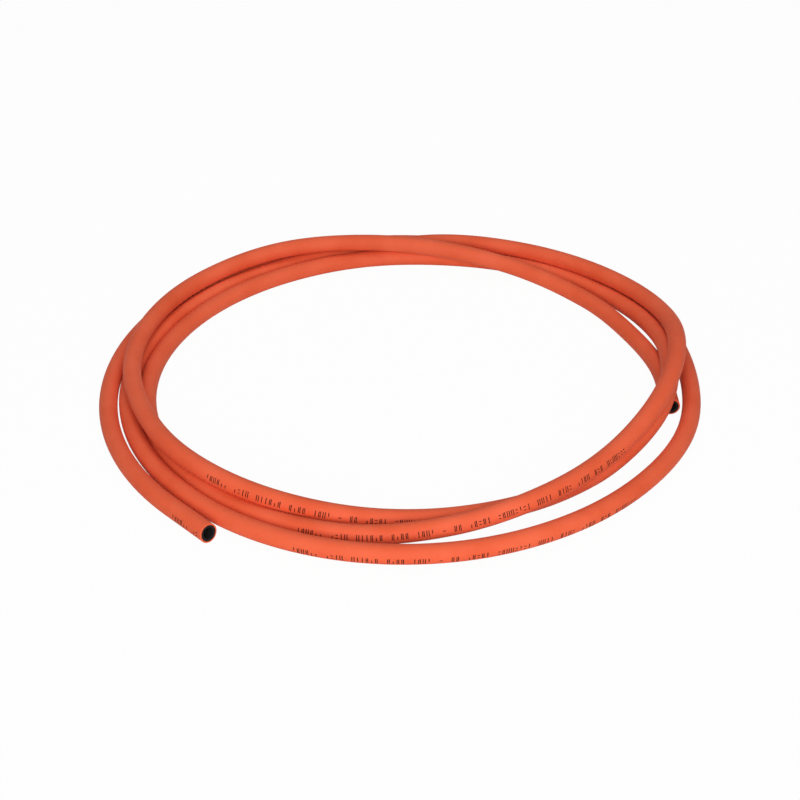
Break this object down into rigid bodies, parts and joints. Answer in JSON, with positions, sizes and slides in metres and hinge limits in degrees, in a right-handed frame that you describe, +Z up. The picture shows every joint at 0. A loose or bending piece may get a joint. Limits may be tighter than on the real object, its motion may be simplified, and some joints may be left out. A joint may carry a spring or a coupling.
{
  "type": "rubber gas hose",
  "caption": "Orange rubber gas hose with a black lining, lying in a loose coil with both cut ends free.",
  "frame": {"origin": "on the table, under the middle of the coil's bounding box", "axes": "+Z up, away from the table; the coil lies flat in X and Y; -Y is the side that faces the camera in the picture, and +X is its right"},
  "size_m": [0.5624, 0.559, 0.0528],
  "materials": {
    "orange_rubber": "matte"
  },
  "bodies": {
    "root": {"hose": "orange_rubber"}
  },
  "joints": []
}
